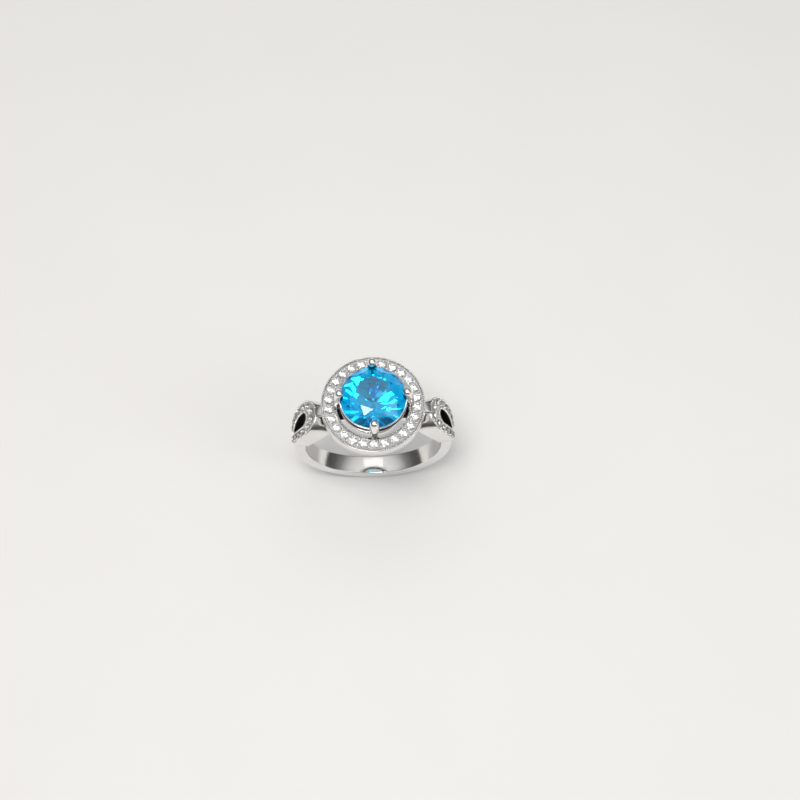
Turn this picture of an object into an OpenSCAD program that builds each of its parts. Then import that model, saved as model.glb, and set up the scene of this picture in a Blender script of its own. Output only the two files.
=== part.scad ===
// Halo cocktail ring: a round centre stone in a four-prong basket, a pave halo round it and an open
// pear-shaped pave loop on each shoulder. The finger passes along Y, the head is up along +Z, and the
// origin is the centre of the finger hole. Millimetres and degrees throughout.

/* [Finger] */
// Diameter of the finger hole
bore_d = 16.5; // [14:0.25:20]
// Thickness of the band at its sides and its bottom
band_t = 1.5; // [1:0.05:2]
// Width of the plain band below the shoulders
shank_w = 2.35; // [1.8:0.05:3]
// Fall of the band's domed outside from its middle to its edges
shank_dome = 0.3; // [0.1:0.05:0.5]
// How far the shoulders are lifted above a plain round band
shoulder_rise = 1.2; // [0.9:0.1:1.6]

/* [Centre stone] */
// Diameter of the centre stone
stone_d = 7.8; // [6.5:0.1:9.5]
// Diameter of its table
table_d = 4.3; // [3.5:0.1:5]
// Height of its crown
crown_h = 1.25; // [0.9:0.05:1.6]
// Thickness of its girdle
girdle_h = 0.24; // [0.2:0.02:0.4]
// Depth of its pavilion
pavilion_h = 3.3; // [2.6:0.1:4]
// Gap between the stone's point and the finger
culet_gap = 0.13; // [0.1:0.01:0.6]

/* [Basket] */
// Radius of a prong's rounded tip
tip_r = 0.45; // [0.35:0.01:0.55]
// Radius of a prong at its widest, beside the girdle
belly_r = 0.6; // [0.5:0.01:0.7]
// Radius of a prong's foot, in the halo's inner edge
foot_r = 0.3; // [0.2:0.01:0.35]
// How far outside the stone's edge a tip is centred
tip_out = 0.06; // [0:0.01:0.2]
// How far above the girdle a tip is centred
tip_rise = 1.18; // [0.6:0.02:1.3]
// How far outside the stone's edge a foot is centred
foot_out = 0.45; // [0.35:0.01:0.5]
// Radius of the struts that tie the feet to the base rail
strut_r = 0.25; // [0.18:0.01:0.28]
// Height of the collet under the stone's edge
collet_h = 1.2; // [0.8:0.05:1.4]
// How far the collet's rim shows outside the stone's edge
collet_rim = 0.08; // [0:0.01:0.15]
// Wall of the collet
collet_wall = 0.5; // [0.4:0.05:0.7]
// Depth of the groove round the collet
collet_groove = 0.14; // [0.05:0.01:0.2]
// Height of the lip above and below that groove
collet_lip = 0.28; // [0.2:0.02:0.35]
// How far inside the stone's edge the base rail lies
base_inset = 0.45; // [0.3:0.05:0.8]
// Width of the base rail
base_w = 0.8; // [0.6:0.05:1]
// Height of the base rail
base_h = 0.6; // [0.4:0.05:0.8]
// Gap between the base rail and the finger
base_gap = 0.25; // [0.15:0.05:0.4]

/* [Halo] */
// How far the stone's girdle stands above the halo
stone_lift = 1.7; // [1.5:0.05:2.2]
// Gap between the centre stone's edge and the halo
halo_gap = 0.43; // [0.35:0.01:0.6]
// Width of the halo's plate
halo_w = 1.82; // [1.7:0.01:2.2]
// Thickness of the halo's plate
plate_t = 0.9; // [0.7:0.05:1.1]
// Height of the skirt under the plate
skirt_h = 0.3; // [0.2:0.05:0.5]
// Width of that skirt
skirt_w = 0.6; // [0.4:0.05:0.9]
// Diameter of a halo stone
halo_stone_d = 1.1; // [0.9:0.05:1.2]
// Least gap between two halo stones
halo_stone_gap = 0.15; // [0.1:0.01:0.3]

/* [Shoulders] */
// Length of a shoulder loop, straight from its round end to its narrow end
loop_l = 7.45; // [6.5:0.05:8]
// Radius of the loop's round end
loop_r = 2.25; // [2.1:0.05:2.5]
// Straight stretch between the round end and the tapering flanks
loop_straight = 0.55; // [0.2:0.05:1]
// Width of the loop's ribbon along its flanks
ribbon_w = 1.4; // [1.35:0.01:1.5]
// How far the opening is set towards the narrow end
opening_shift = 0.45; // [0.2:0.05:0.7]
// Diameter of a loop stone
loop_stone_d = 0.88; // [0.7:0.02:0.9]
// Least gap between two loop stones
loop_stone_gap = 0.1; // [0.06:0.01:0.2]
// Gap between the halo and the loop, bridged by the neck
neck_l = 0.6; // [0.4:0.05:1]
// Width of that neck
neck_w = 1.1; // [0.8:0.05:1.4]
// Thickness of the arms that carry the head
arm_t = 0.95; // [0.8:0.05:1.2]
// Width of an arm under the head
arm_w = 2.4; // [1.6:0.1:3]

/* [Beads] */
// Diameter of a milgrain bead
bead_d = 0.22; // [0.16:0.01:0.23]
// Distance from bead to bead
bead_pitch = 0.255; // [0.25:0.005:0.32]
// Distance of a bead row from the edge that it follows
bead_edge = 0.13; // [0.125:0.005:0.2]
// Diameter of a setting grain between two stones
grain_d = 0.34; // [0.26:0.01:0.38]
// Diameter of a setting grain on the shoulder loops
loop_grain_d = 0.24; // [0.18:0.01:0.26]

/* [Hidden] */
bore_r = bore_d / 2;
band_r = bore_r + band_t;
stone_r = stone_d / 2;
girdle_z = bore_r + culet_gap + pavilion_h + girdle_h / 2;
girdle_low_z = girdle_z - girdle_h / 2;
girdle_top_z = girdle_z + girdle_h / 2;
halo_z = girdle_z - stone_lift;
plate_low_z = halo_z - plate_t;
skirt_low_z = plate_low_z - skirt_h;
halo_in_r = stone_r + halo_gap;
halo_out_r = halo_in_r + halo_w;
halo_path_r = (halo_in_r + halo_out_r) / 2;
halo_n = floor(360 / (2 * asin((halo_stone_d + halo_stone_gap) / 2 / halo_path_r)));
collet_r = stone_r + collet_rim;
base_out_r = stone_r - base_inset;
base_in_r = base_out_r - base_w;
base_low_z = bore_r + base_gap;
// A prong leans inwards from its foot, halfway up the halo's plate, to its tip
foot_z = plate_low_z + plate_t / 2;
foot_ring_r = stone_r + foot_out;
prong_run = foot_out - tip_out;
prong_climb = girdle_top_z + tip_rise - foot_z;
prong_l = norm([prong_run, prong_climb]);
prong_lean = atan2(prong_run, prong_climb);
belly_h = (girdle_z - foot_z) / cos(prong_lean);
prong_skip = foot_r + (belly_r - foot_r) * (halo_z - foot_z) / belly_h + bead_d;
prong_turns = [["east", 0], ["north", 90], ["west", 180], ["south", 270]];
// Steeper than the facets, so that a round seat never cuts into a faceted pavilion
seat_slope = 1.09;
// Cut of every stone: shares of its radius or its depth
star_share = 0.5;
lower_share = 0.77;
melee_table = 0.56;
melee_crown = 0.17;
melee_girdle = 0.04;
melee_pavilion = 0.42;
facets = 8;
half_turn = 180 / facets;
// How far a small stone's girdle stands proud of its plate
melee_lift = 0.03;
seat_depth = 0.52;
seat_floor = 0.22;
// A cutter runs this far past the face that it opens
past = 1;
reach = 3 * band_r;
round_fn = 96;
bead_fn = 24;
prong_steps = 6;
// Shoulder loops: their flanks are arcs that end at the band's width
flank_l = loop_l - loop_r - loop_straight;
flank_c = (flank_l * flank_l + shank_w * shank_w / 4 - loop_r * loop_r) / (2 * loop_r - shank_w);
loop_start = asin((halo_out_r + neck_l) / band_r);
loop_mid = loop_start + asin(loop_l / 2 / band_r);
loop_a0 = loop_r - loop_l / 2;
opening_r = loop_r - ribbon_w;
row_inset = 2 * bead_edge + loop_stone_d / 2;
row_r = loop_r - row_inset;
row_shift = opening_shift * row_inset / ribbon_w;
halo_stone_names = [for (i = [1:halo_n]) melee_name(i)];
metal = "silver";
bright = "gainsboro";
aqua = "deepskyblue";
white = "white";

function melee_name(i) = str("halo_stone_", i < 10 ? "0" : "", i);

// ---- A brilliant cut, as points and faces: table, stars, kites, girdle and pavilion ----

function ring(r, z, turn, n) =
    [for (i = [0:n - 1]) [r * cos(turn + i * 360 / n), r * sin(turn + i * 360 / n), z]];

// The girdle's edge is scalloped where mids is 1: its middle points lie in the flat facets
function girdle_ring(r, z, dip, mids) =
    let (n = 2 * facets * (1 + mids))
    [for (i = [0:n - 1]) let (a = i * 360 / n, low = mids == 1 && i % 2 == 1)
        [r * cos(a), r * sin(a), z + (low ? dip : 0)]];

module brilliant(d, table, crown, girdle, pavilion, mids) {
    r = d / 2;
    rt = table / 2;
    m = 1 + mids;
    n = 2 * facets;
    rs = rt * cos(half_turn) * (1 - star_share) + r * star_share;
    zs = girdle / 2 + (r - rs * cos(half_turn)) * crown / (r - rt);
    rj = r * (1 - lower_share);
    zj = -girdle / 2 - pavilion * (1 - rj * cos(half_turn) / r);
    bulge = r * (1 - cos(half_turn / 2));
    dip = bulge * (zs - girdle / 2) / ((r - rs) * cos(half_turn / 2));
    rise = bulge * (-girdle / 2 - zj) / ((r - rj) * cos(half_turn / 2));
    star0 = facets;
    top0 = 2 * facets;
    low0 = top0 + n * m;
    join0 = low0 + n * m;
    culet = join0 + facets;
    points = concat(
        ring(rt, girdle / 2 + crown, 0, facets),
        ring(rs, zs, half_turn, facets),
        girdle_ring(r, girdle / 2, -dip, mids),
        girdle_ring(r, -girdle / 2, rise, mids),
        ring(rj, zj, half_turn, facets),
        [[0, 0, -girdle / 2 - pavilion]]
    );
    faces = concat(
        [[for (k = [facets - 1:-1:0]) k]],
        [for (k = [0:facets - 1]) [k, (k + 1) % facets, star0 + k]],
        [for (k = [0:facets - 1]) [k, star0 + k, top0 + 2 * k * m, star0 + (k + facets - 1) % facets]],
        [for (k = [0:facets - 1], side = [0, 1])
            concat([star0 + k], [for (j = [m:-1:0]) top0 + ((2 * k + side) * m + j) % (n * m)])],
        [for (i = [0:n * m - 1])
            [top0 + i, top0 + (i + 1) % (n * m), low0 + (i + 1) % (n * m), low0 + i]],
        [for (k = [0:facets - 1], side = [0, 1])
            concat([for (j = [0:m]) low0 + ((2 * k + side) * m + j) % (n * m)], [join0 + k])],
        [for (k = [0:facets - 1]) [low0 + 2 * k * m, join0 + k, culet, join0 + (k + facets - 1) % facets]]
    );
    polyhedron(points, faces, convexity = 2);
}

// A small stone with the middle of its girdle at the origin
module melee(d)
    brilliant(d, d * melee_table, d * melee_crown, d * melee_girdle, d * melee_pavilion, 0);

// The seat cut for a small stone: it bears on the stone's lower girdle edge
module melee_seat(d) {
    bearing = -d * melee_girdle / 2;
    translate([0, 0, bearing]) cylinder(h = past, d = d, $fn = round_fn);
    translate([0, 0, -d * seat_depth]) cylinder(
        h = d * seat_depth + bearing, r1 = d * seat_floor, d2 = d, $fn = round_fn);
}

module dome(d) rotate_extrude($fn = bead_fn) intersection() {
    circle(d = d, $fn = bead_fn);
    square(d / 2);
}

// ---- The band: a round hole inside an outline that is lifted at the top ----

module band_outline() {
    translate([0, shoulder_rise]) circle(band_r, $fn = round_fn);
    circle(band_r, $fn = round_fn);
    translate([-band_r, 0]) square([2 * band_r, shoulder_rise]);
}

// An outline drawn in X and Z, carried to the same distance both ways along Y
module across(w) rotate([90, 0, 0]) linear_extrude(w, center = true) children();

module bore() rotate([90, 0, 0]) cylinder(r = bore_r, h = reach, center = true, $fn = round_fn);

// Band's cross-section, X outwards: flat inside, domed outside
module shank_section() intersection() {
    translate([bore_r - band_t / 2, -shank_w / 2]) square([band_t * 3 / 2, shank_w]);
    translate([band_r - dome_r(), 0]) circle(dome_r(), $fn = round_fn);
}

function dome_r() = (shank_w * shank_w / 4 + shank_dome * shank_dome) / (2 * shank_dome);

module shank() color(metal) difference() {
    union() {
        rotate([90, 0, 0]) rotate([0, 0, 180]) rotate_extrude(angle = 180, $fn = round_fn) shank_section();
        for (side = [0, 1]) mirror([side, 0, 0]) linear_extrude(band_r) shank_section();
    }
    bore();
    for (side = [1, -1]) loop_frame(side) loop_zone();
}

// ---- Shoulder loops: a plane outline cut straight down through the band ----

// Local frame of a loop: X runs down the band, Y across it, Z outwards through the loop's middle
module loop_frame(side) mirror([side < 0 ? 1 : 0, 0, 0])
    translate([0, 0, shoulder_rise]) rotate([0, loop_mid, 0]) children();

// All of the band on the head's side of the loop's narrow end
module loop_zone() translate([loop_l / 2 - reach, -reach / 2, 0]) cube([reach, reach, reach]);

module pear(shift, r) translate([loop_a0, 0]) {
    translate([shift, 0]) circle(r, $fn = round_fn);
    translate([shift, -r]) square([loop_straight - shift, 2 * r]);
    intersection() {
        translate([loop_straight, -flank_c]) circle(flank_c + r, $fn = round_fn);
        translate([loop_straight, flank_c]) circle(flank_c + r, $fn = round_fn);
        translate([loop_straight, -r]) square([flank_l, 2 * r]);
    }
}

// Half of a row that follows the pear: its end where the row is half_w from the middle, its length,
// and its point at a distance s from the round end
function row_turn(r, half_w) = acos((flank_c + half_w) / (flank_c + r));
function arc_l(r, turn) = r * turn * PI / 180;
function row_l(shift, r, half_w) =
    arc_l(r, 90) + loop_straight - shift + arc_l(flank_c + r, row_turn(r, half_w));
function row_at(shift, r, s) =
    let (s1 = arc_l(r, 90), s2 = s1 + loop_straight - shift)
    s < s1 ? let (t = s / r * 180 / PI) [loop_a0 + shift - r * cos(t), r * sin(t)]
    : s < s2 ? [loop_a0 + shift + s - s1, r]
    : let (t = (s - s2) / (flank_c + r) * 180 / PI)
        [loop_a0 + loop_straight + (flank_c + r) * sin(t), (flank_c + r) * cos(t) - flank_c];

// Places of n pieces in each half of such a row, the second half mirrored
function row_points(shift, r, half_w, n) =
    let (l = row_l(shift, r, half_w))
    [for (i = [0:n - 1], side = [1, -1]) let (p = row_at(shift, r, (i + 1 / 2) * l / n)) [p[0], side * p[1]]];
function row_count(shift, r, half_w, pitch) = floor(row_l(shift, r, half_w) / pitch);

// Puts a piece on the loop's curved face, at a place of the loop's plane
module on_loop(p) {
    on_arc = p[0] * sin(loop_mid) <= sqrt(band_r * band_r - p[0] * p[0]) * cos(loop_mid);
    h = on_arc ? sqrt(band_r * band_r - p[0] * p[0]) : (band_r - p[0] * cos(loop_mid)) / sin(loop_mid);
    translate([p[0], p[1], h]) rotate([0, on_arc ? asin(p[0] / band_r) : 90 - loop_mid, 0]) children();
}

loop_row_end = (loop_stone_d + loop_stone_gap) / 2;
loop_half_n = row_count(row_shift, row_r, loop_row_end, loop_stone_d + loop_stone_gap);
loop_row = row_points(row_shift, row_r, loop_row_end, loop_half_n);
outer_row_r = loop_r - bead_edge;
outer_row_end = shank_w / 2 - bead_edge;
inner_row_r = opening_r + bead_edge;
inner_row_shift = opening_shift;

module shoulder_loop(side) color(metal) difference() {
    intersection() {
        across(reach) band_outline();
        loop_frame(side) linear_extrude(reach) pear(0, loop_r);
    }
    bore();
    loop_frame(side) linear_extrude(reach) pear(opening_shift, opening_r);
    loop_frame(side) for (p = loop_row) on_loop(p) translate([0, 0, melee_lift]) melee_seat(loop_stone_d);
}

module loop_stones(side) color(white) loop_frame(side)
    for (p = loop_row) on_loop(p) translate([0, 0, melee_lift]) melee(loop_stone_d);

module loop_outer_milgrain(side) color(bright) loop_frame(side)
    for (p = row_points(0, outer_row_r, outer_row_end,
            row_count(0, outer_row_r, outer_row_end, bead_pitch)))
        on_loop(p) dome(bead_d);

module loop_inner_milgrain(side) color(bright) loop_frame(side)
    for (p = row_points(inner_row_shift, inner_row_r, bead_pitch / 2,
            row_count(inner_row_shift, inner_row_r, bead_pitch / 2, bead_pitch)))
        on_loop(p) dome(bead_d);

// Grains stand in the corners between two neighbouring stones, on both sides of the row
module loop_grains(side) color(bright) loop_frame(side)
    for (k = [1:loop_half_n - 1], half = [1, -1], way = [1, -1]) {
        l = row_l(row_shift, row_r, loop_row_end);
        r = row_r + way * (loop_stone_d - loop_grain_d) / 2;
        s = k * l / loop_half_n * row_l(row_shift, r, loop_row_end) / l;
        p = row_at(row_shift, r, s);
        on_loop([p[0], half * p[1]]) dome(loop_grain_d);
    }

// ---- Arms carry the basket, and a neck ties each loop to the halo's skirt ----

module arm_outline() intersection() {
    translate([0, -base_low_z]) square([reach, 2 * base_low_z]);
    circle(bore_r + arm_t, $fn = round_fn);
}

module arm_plan() translate([base_in_r, -arm_w / 2]) square([halo_out_r - base_in_r, arm_w]);

module neck_outline() {
    inner_x = halo_out_r - skirt_w;
    loop_x = band_r * sin(loop_start) + past / 2;
    polygon([
        [inner_x, bore_r * cos(loop_start)], [inner_x, skirt_low_z], [halo_out_r, skirt_low_z],
        [halo_out_r + neck_l, shoulder_rise + band_r * cos(loop_start)],
        [loop_x, shoulder_rise + band_r * cos(loop_start)], [loop_x, bore_r * cos(loop_start)]
    ]);
}

module arm(side) color(metal) mirror([side < 0 ? 1 : 0, 0, 0]) difference() {
    intersection() {
        across(reach) arm_outline();
        linear_extrude(reach) arm_plan();
    }
    bore();
    loop_frame(1) linear_extrude(reach) pear(0, loop_r);
}

module neck(side) color(metal) mirror([side < 0 ? 1 : 0, 0, 0]) difference() {
    across(neck_w) neck_outline();
    across(reach) arm_outline();
    bore();
    loop_frame(1) linear_extrude(reach) pear(0, loop_r);
}

// ---- Halo ----

module tube(out_r, in_r, low_z, h) translate([0, 0, low_z]) difference() {
    cylinder(r = out_r, h = h, $fn = round_fn);
    translate([0, 0, -past]) cylinder(r = in_r, h = h + 2 * past, $fn = round_fn);
}

// Turns a piece to the place of halo stone i, counted round from +Y, or between two stones
module at_halo(i, r) rotate([0, 0, 90 + (i - 1) * 360 / halo_n]) translate([r, 0, halo_z]) children();

module halo_plate() color(metal) difference() {
    tube(halo_out_r, halo_in_r, plate_low_z, plate_t);
    for (i = [1:halo_n]) at_halo(i, halo_path_r) translate([0, 0, melee_lift]) melee_seat(halo_stone_d);
    for (p = prong_turns) prong_body(p[1]);
}

module halo_skirt() color(metal) tube(halo_out_r, halo_out_r - skirt_w, skirt_low_z, skirt_h);

module halo_stone(i) color(white)
    at_halo(i, halo_path_r) translate([0, 0, melee_lift]) melee(halo_stone_d);

module halo_beads(r, skip) {
    n = floor(2 * PI * r / bead_pitch);
    for (i = [0:n - 1]) {
        a = (i + 1 / 2) * 360 / n;
        off = abs((a + 45) % 90 - 45);
        if (r * sin(off) > skip) rotate([0, 0, a]) translate([r, 0, halo_z]) dome(bead_d);
    }
}

module halo_outer_milgrain() color(bright) halo_beads(halo_out_r - bead_edge, -past);

module halo_inner_milgrain() color(bright) halo_beads(halo_in_r + bead_edge, prong_skip);

module halo_grains() color(bright) for (i = [1:halo_n], way = [1, -1])
    at_halo(i + 1 / 2, halo_path_r + way * (halo_stone_d - grain_d) / 2) dome(grain_d);

// ---- Basket and centre stone ----

module stone_envelope() rotate_extrude($fn = round_fn) polygon([
    [0, girdle_low_z - pavilion_h * seat_slope], [stone_r, girdle_low_z], [stone_r, girdle_top_z],
    [table_d / 2, girdle_top_z + crown_h], [0, girdle_top_z + crown_h]
]);

module collet_envelope() rotate_extrude($fn = round_fn) polygon([
    [0, girdle_low_z - collet_h], [collet_r, girdle_low_z - collet_h], [collet_r, girdle_low_z],
    [0, girdle_low_z]
]);

module collet() color(bright) difference() {
    tube(collet_r, collet_r - collet_wall, girdle_low_z - collet_h, collet_h);
    stone_envelope();
    tube(collet_r + past, collet_r - collet_groove, girdle_low_z - collet_h + collet_lip,
        collet_h - 2 * collet_lip);
}

module base_rail() color(metal) tube(base_out_r, base_in_r, base_low_z, base_h);

// Points of an arc about a place on the Z axis, from one angle up to another
function arc_points(r, z, from, to, n) =
    [for (i = [0:n]) let (a = from + (to - from) * i / n) [r * cos(a), z + r * sin(a)]];

// Half of a prong's outline: three balls on one axis, joined by the lines that touch them
function prong_outline() =
    let (swell = asin((belly_r - foot_r) / belly_h), taper = asin((belly_r - tip_r) / (prong_l - belly_h)))
    concat(
        arc_points(foot_r, 0, -90, -swell, prong_steps),
        arc_points(belly_r, belly_h, -swell, taper, prong_steps),
        arc_points(tip_r, prong_l, taper, 90, prong_steps)
    );

module prong_body(turn) rotate([0, 0, turn]) translate([foot_ring_r, 0, foot_z])
    rotate([0, -prong_lean, 0]) rotate_extrude($fn = round_fn) polygon(prong_outline());

module prong(turn) color(bright) {
    rail_r = (base_in_r + base_out_r) / 2;
    rail_z = base_low_z + base_h / 2;
    run = foot_ring_r - rail_r;
    climb = foot_z - rail_z;
    difference() {
        union() {
            prong_body(turn);
            rotate([0, 0, turn]) translate([rail_r, 0, rail_z]) rotate([0, atan2(run, climb), 0])
                cylinder(r = strut_r, h = norm([run, climb]), $fn = round_fn);
        }
        stone_envelope();
        collet_envelope();
        translate([0, 0, base_low_z - past]) cylinder(r = base_out_r, h = base_h + past, $fn = round_fn);
    }
}

module centre_stone() color(aqua) translate([0, 0, girdle_z])
    brilliant(stone_d, table_d, crown_h, girdle_h, pavilion_h, 1);

shank();
shoulder_loop(-1);  // left_shoulder_loop
shoulder_loop(1);  // right_shoulder_loop
arm(-1);  // left_arm
arm(1);  // right_arm
neck(-1);  // left_neck
neck(1);  // right_neck
halo_plate();
halo_skirt();
collet();
base_rail();
for (p = prong_turns) prong(p[1]);
centre_stone();
for (i = [1:halo_n]) halo_stone(i);
halo_outer_milgrain();
halo_inner_milgrain();
halo_grains();
loop_stones(-1);  // left_loop_stones
loop_stones(1);  // right_loop_stones
loop_grains(-1);  // left_loop_grains
loop_grains(1);  // right_loop_grains
loop_outer_milgrain(-1);  // left_loop_outer_milgrain
loop_outer_milgrain(1);  // right_loop_outer_milgrain
loop_inner_milgrain(-1);  // left_loop_inner_milgrain
loop_inner_milgrain(1);  // right_loop_inner_milgrain
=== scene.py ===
"""Halo cocktail ring: the finished look, built round the CAD frame.

Metres throughout. The finger passes along Y, the head is up along +Z, and the origin is the
centre of the finger hole. Each sub-assembly is a class that holds its sizes, makes its pieces
and dresses them. The faceted stones are the frame's own and are given their gem finish here.
"""

import logging
import math
from collections.abc import Callable, Iterator, Sequence
from contextlib import contextmanager
from dataclasses import dataclass, field
from enum import Enum, IntEnum

import bmesh
import bpy
from mathutils import Matrix, Vector


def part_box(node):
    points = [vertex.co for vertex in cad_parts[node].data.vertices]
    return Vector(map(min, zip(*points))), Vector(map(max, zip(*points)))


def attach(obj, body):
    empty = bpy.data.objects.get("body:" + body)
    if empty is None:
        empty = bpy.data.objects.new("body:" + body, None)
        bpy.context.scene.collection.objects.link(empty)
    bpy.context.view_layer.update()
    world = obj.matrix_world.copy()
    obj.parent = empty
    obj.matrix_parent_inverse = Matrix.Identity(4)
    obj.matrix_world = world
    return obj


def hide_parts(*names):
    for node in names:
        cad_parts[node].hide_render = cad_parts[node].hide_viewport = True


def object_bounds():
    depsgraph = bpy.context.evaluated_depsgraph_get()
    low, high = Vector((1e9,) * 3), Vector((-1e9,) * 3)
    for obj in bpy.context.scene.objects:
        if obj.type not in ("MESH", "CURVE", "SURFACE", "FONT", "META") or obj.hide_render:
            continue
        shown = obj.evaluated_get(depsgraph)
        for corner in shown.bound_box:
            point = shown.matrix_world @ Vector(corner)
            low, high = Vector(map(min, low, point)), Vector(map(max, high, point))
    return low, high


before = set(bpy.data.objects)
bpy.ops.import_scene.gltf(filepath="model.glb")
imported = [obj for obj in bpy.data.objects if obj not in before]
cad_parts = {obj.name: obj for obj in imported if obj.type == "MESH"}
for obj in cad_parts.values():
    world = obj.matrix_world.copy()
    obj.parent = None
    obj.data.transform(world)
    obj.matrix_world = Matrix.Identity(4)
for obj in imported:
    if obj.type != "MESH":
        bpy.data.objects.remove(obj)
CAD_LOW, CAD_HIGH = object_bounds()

MM = 0.001
MICRON = 0.001 * MM
MERGE = 1e-7
FACING = 0.9  # cosine over which a face looks a given way
LEVEL = 0.99  # cosine over which it is flat, without the roundings beside it
UPRIGHT = (math.pi / 2, 0, 0)
EASED_DEG = 40.0
ROUND_DEG = 60.0
LOG = logging.getLogger("ring")

Flat = tuple[float, float]
Tone = tuple[float, float, float]
Feed = bpy.types.NodeSocket | float | tuple[float, ...]


class Side(Enum):
    """The two shoulders of the ring."""

    LEFT = -1
    RIGHT = 1

    @property
    def word(self) -> str:
        """The side's name in lower case."""
        return self.name.lower()


class Slot(Enum):
    """The material slots of the record."""

    METAL = "ring_metal"
    BEADS = "beads"
    CENTRE = "centre_stone"
    SMALL = "small_stones"


# ---- The bench: selecting, shaping and joining ----


def deselect_all() -> None:
    """Leaves object mode with nothing selected."""
    if bpy.context.object and bpy.context.object.mode != "OBJECT":
        bpy.ops.object.mode_set(mode="OBJECT")
    bpy.ops.object.select_all(action="DESELECT")


def activate(piece: bpy.types.Object) -> None:
    """Selects one piece and makes it the active one.

    Args:
        piece: The piece to work on.
    """
    deselect_all()
    piece.select_set(True)
    bpy.context.view_layer.objects.active = piece


@contextmanager
def editing(piece: bpy.types.Object, kind: str = "VERT") -> Iterator[None]:
    """Opens a piece in edit mode with nothing picked, and closes it again.

    Args:
        piece: The piece to edit.
        kind: The select mode, VERT, EDGE or FACE.

    Yields:
        Nothing; the piece is open meanwhile.
    """
    activate(piece)
    bpy.ops.object.mode_set(mode="EDIT")
    bpy.ops.mesh.select_mode(type=kind)
    bpy.ops.mesh.select_all(action="DESELECT")
    yield
    bpy.ops.object.mode_set(mode="OBJECT")


def pick(piece: bpy.types.Object, part: str, test: Callable[..., bool]) -> int:
    """Picks points, edges or faces of the piece that is open in edit mode.

    Args:
        piece: The piece in edit mode.
        part: verts, edges or faces.
        test: Takes one such part and says whether it is picked.

    Returns:
        How many were picked.
    """
    bpy.ops.mesh.select_all(action="DESELECT")
    mesh = bmesh.from_edit_mesh(piece.data)
    found = [e for e in getattr(mesh, part) if test(e)]
    for element in found:
        element.select_set(True)
    mesh.select_flush_mode()
    bmesh.update_edit_mesh(piece.data)
    return len(found)


def settle(piece: bpy.types.Object) -> None:
    """Moves a piece's place, turn and scale into its mesh."""
    activate(piece)
    bpy.ops.object.transform_apply(location=True, rotation=True, scale=True)


def primitive(shape: str, name: str, **sizes: object) -> bpy.types.Object:
    """Starts a piece from a primitive at its size and place.

    Args:
        shape: The primitive, as its operator names it.
        name: The piece's name.
        sizes: What the operator is given.

    Returns:
        The piece, settled.
    """
    deselect_all()
    getattr(bpy.ops.mesh, f"primitive_{shape}_add")(**sizes)
    piece = bpy.context.object
    piece.name = piece.data.name = name
    settle(piece)
    return piece


def close_up(piece: bpy.types.Object) -> None:
    """Merges doubled points and turns every face outwards.

    Args:
        piece: The piece to clean.
    """
    with editing(piece):
        bpy.ops.mesh.select_all(action="SELECT")
        bpy.ops.mesh.remove_doubles(threshold=MERGE)
        bpy.ops.mesh.normals_make_consistent(inside=False)


def copied(piece: bpy.types.Object, name: str) -> bpy.types.Object:
    """A copy of a piece with a mesh of its own.

    Args:
        piece: The piece to copy.
        name: The copy's name.

    Returns:
        The copy.
    """
    twin = piece.copy()
    twin.data = piece.data.copy()
    twin.name = twin.data.name = name
    bpy.context.scene.collection.objects.link(twin)
    return twin


def joined(pieces: Sequence[bpy.types.Object], name: str) -> bpy.types.Object:
    """Joins pieces into one, settled at the origin.

    Args:
        pieces: The pieces to join.
        name: The joined piece's name.

    Returns:
        The joined piece.
    """
    bpy.context.view_layer.update()
    for piece in pieces:
        piece.data.transform(piece.matrix_world)
        piece.matrix_world = Matrix.Identity(4)
    activate(pieces[0])
    for piece in pieces[1:]:
        piece.select_set(True)
    bpy.ops.object.join()
    whole = bpy.context.object
    whole.name = whole.data.name = name
    return whole


def discard(piece: bpy.types.Object) -> None:
    """Removes a tool piece that isn't part of the ring."""
    bpy.data.objects.remove(piece, do_unlink=True)


def combine(piece: bpy.types.Object, tool: bpy.types.Object, how: str = "DIFFERENCE") -> None:
    """Cuts a tool out of a piece, or welds it on, and throws the tool away.

    Args:
        piece: The piece that stays.
        tool: The piece that is used up.
        how: DIFFERENCE or UNION.
    """
    step = piece.modifiers.new("combine", "BOOLEAN")
    step.operation = how
    step.solver = "EXACT"
    step.object = tool
    activate(piece)
    bpy.ops.object.modifier_apply(modifier=step.name)
    discard(tool)


def soften(piece: bpy.types.Object, width: float, degrees: float = 35.0, segments: int = 3) -> None:
    """Rounds every edge that is sharper than an angle.

    Args:
        piece: The piece to round.
        width: The rounding's width.
        degrees: The angle.
        segments: Steps across the rounding.
    """
    step = piece.modifiers.new("soften", "BEVEL")
    step.width = width
    step.segments = segments
    step.limit_method = "ANGLE"
    step.angle_limit = math.radians(degrees)
    activate(piece)
    bpy.ops.object.modifier_apply(modifier=step.name)


def near(a: float, b: float, slack: float = MICRON) -> bool:
    """Whether two lengths are the same to a micron."""
    return abs(a - b) < slack


def section(name: str, corners: Sequence[Flat]) -> bpy.types.Object:
    """A filled outline that stands in the XZ plane.

    Args:
        name: The outline's name.
        corners: Its corners in order, as radius and height.

    Returns:
        The outline, one face.
    """
    outline = primitive(
        "circle", name, vertices=len(corners), radius=MM, fill_type="NGON", rotation=UPRIGHT
    )
    with editing(outline):
        for i, (x, z) in enumerate(corners):
            pick(outline, "verts", lambda v, i=i: v.index == i)
            spot = bmesh.from_edit_mesh(outline.data).verts
            spot.ensure_lookup_table()
            bpy.ops.transform.translate(value=Vector((x, 0, z)) - spot[i].co)
    return outline


def round_corner(outline: bpy.types.Object, corner: Flat, radius: float, segments: int = 4) -> None:
    """Rounds one corner of a section.

    Args:
        outline: The section.
        corner: The corner, as radius and height.
        radius: The rounding's radius.
        segments: Steps along the arc.
    """
    with editing(outline):
        pick(outline, "verts", lambda v: near(v.co.x, corner[0]) and near(v.co.z, corner[1]))
        bpy.ops.mesh.bevel(offset=radius, segments=segments, affect="VERTICES")


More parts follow.
